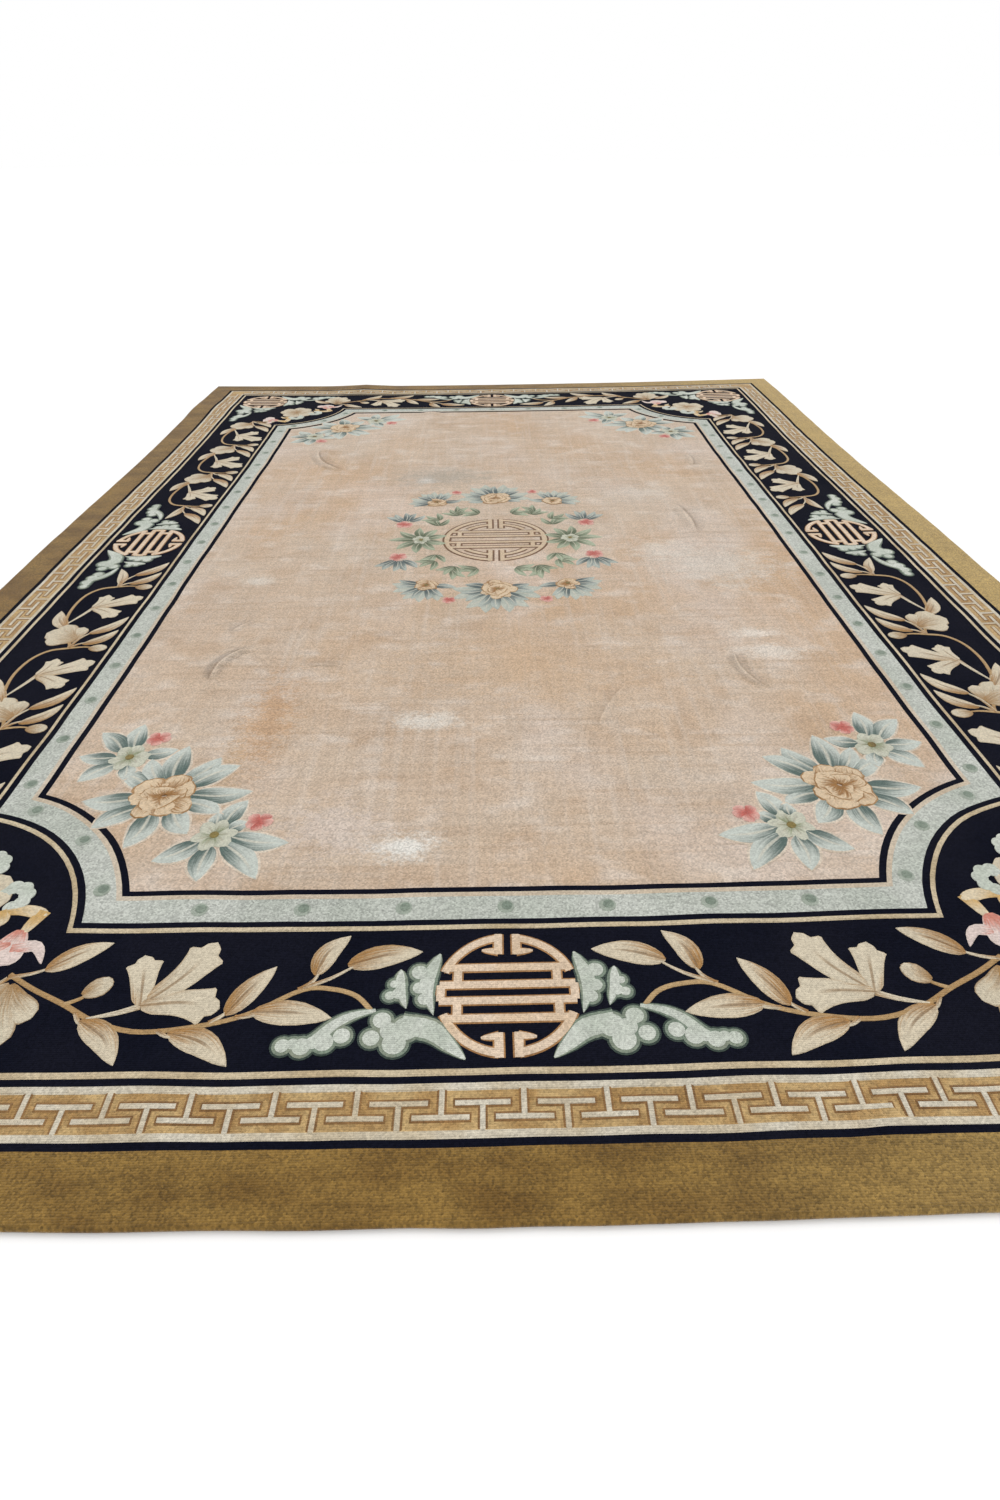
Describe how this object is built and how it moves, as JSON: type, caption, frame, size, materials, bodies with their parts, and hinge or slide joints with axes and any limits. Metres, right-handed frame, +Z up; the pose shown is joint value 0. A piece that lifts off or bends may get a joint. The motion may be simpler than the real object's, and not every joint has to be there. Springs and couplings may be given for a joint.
{
  "type": "silk pile rug",
  "caption": "Large oblong hand-knotted silk pile rug with carved bands, a fret edge, a dark vine border and a pale field with notched corners, lying flat on the floor.",
  "frame": {"origin": "middle of the underside, on the floor", "axes": "+Y along the rug's length towards the far end in the picture, +X to the right in the picture, +Z up out of the pile"},
  "size_m": [3.0762, 4.38, 0.0169],
  "materials": {
    "silk_pile": "cut silk pile with a soft sheen, beige field, dark blue border, olive gold edge"
  },
  "bodies": {
    "root": {"rug": "silk_pile"}
  },
  "joints": []
}
